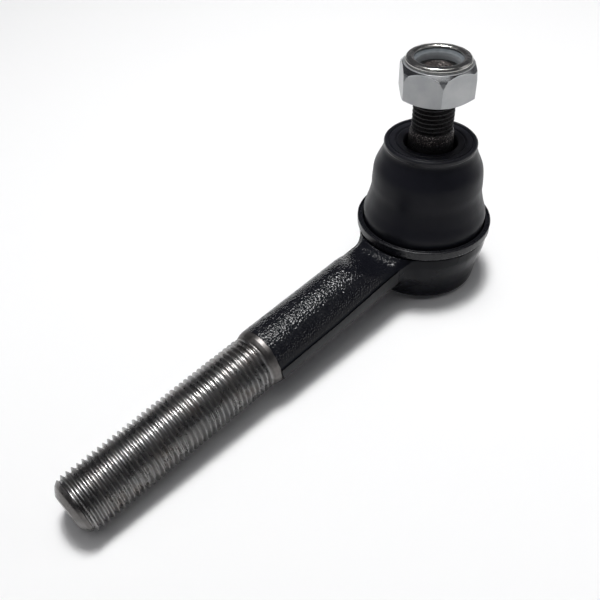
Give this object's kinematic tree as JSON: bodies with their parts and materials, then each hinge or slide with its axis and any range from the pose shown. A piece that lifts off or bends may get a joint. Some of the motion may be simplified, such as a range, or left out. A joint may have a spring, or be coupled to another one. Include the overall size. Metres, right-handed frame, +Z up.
{
  "type": "tie rod end",
  "caption": "Outer tie rod end: forged ball-joint housing with a bent-down threaded shank, taper ball stud, rubber dust boot and self-locking hex nut.",
  "frame": {"origin": "centre of the closing plate's flat bottom face, on the ball stud's axis at rest", "axes": "+Z up along the ball stud, -X towards the threaded shank, which slopes down by 6.6 degrees, +Y completes the frame"},
  "size_m": [0.1492, 0.04, 0.0776],
  "materials": {
    "painted_forging": "gloss black paint over a coarse forged skin",
    "bare_thread": "bare oiled steel, satin",
    "black_steel": "black coated pressed steel, satin",
    "spring_steel": "tempered spring steel, satin",
    "acetal": "natural acetal, satin",
    "phosphated_steel": "black phosphate, dull",
    "boot_rubber": "satin black rubber",
    "zinc_plate": "bright zinc plate",
    "nylon": "translucent blue-grey nylon"
  },
  "bodies": {
    "housing": {"forged_housing": "painted_forging", "closing_plate": "black_steel", "preload_spring": "spring_steel", "upper_ball_seat": "acetal", "boot_base_ring": "black_steel", "dust_boot": "boot_rubber"},
    "swing_seat": {"lower_ball_seat": "acetal"},
    "boot_collar": {"boot_lip_ring": "spring_steel"},
    "stud": {"ball_stud": "phosphated_steel"},
    "nut_carrier": {"nylon_insert": "nylon"},
    "nut": {"lock_nut": "zinc_plate"}
  },
  "joints": [
    {"name": "stud_swing", "type": "hinge", "parent": "housing", "child": "swing_seat", "pos_m": [0, 0, 0.0138], "axis": [0, 0, 1], "continuous": true},
    {"name": "stud_tilt", "type": "hinge", "parent": "swing_seat", "child": "boot_collar", "pos_m": [0, 0, 0.0138], "axis": [0, 1, 0], "range_deg": [-20, 20], "deforming": ["dust_boot"]},
    {"name": "stud_spin", "type": "hinge", "parent": "boot_collar", "child": "stud", "pos_m": [0, 0, 0.0138], "axis": [0, 0, 1], "continuous": true},
    {"name": "nut_travel", "type": "slide", "parent": "stud", "child": "nut_carrier", "axis": [0, 0, 1], "range_m": [-0.0095, 0.0076]},
    {"name": "nut_turn", "type": "hinge", "parent": "nut_carrier", "child": "nut", "pos_m": [0, 0, 0.058], "axis": [0, 0, 1], "range_deg": [-2730, 2180]}
  ],
  "couplings": [
    {"joint": "nut_travel", "follows": "nut_turn", "m_per_rad": 0.00019894}
  ]
}
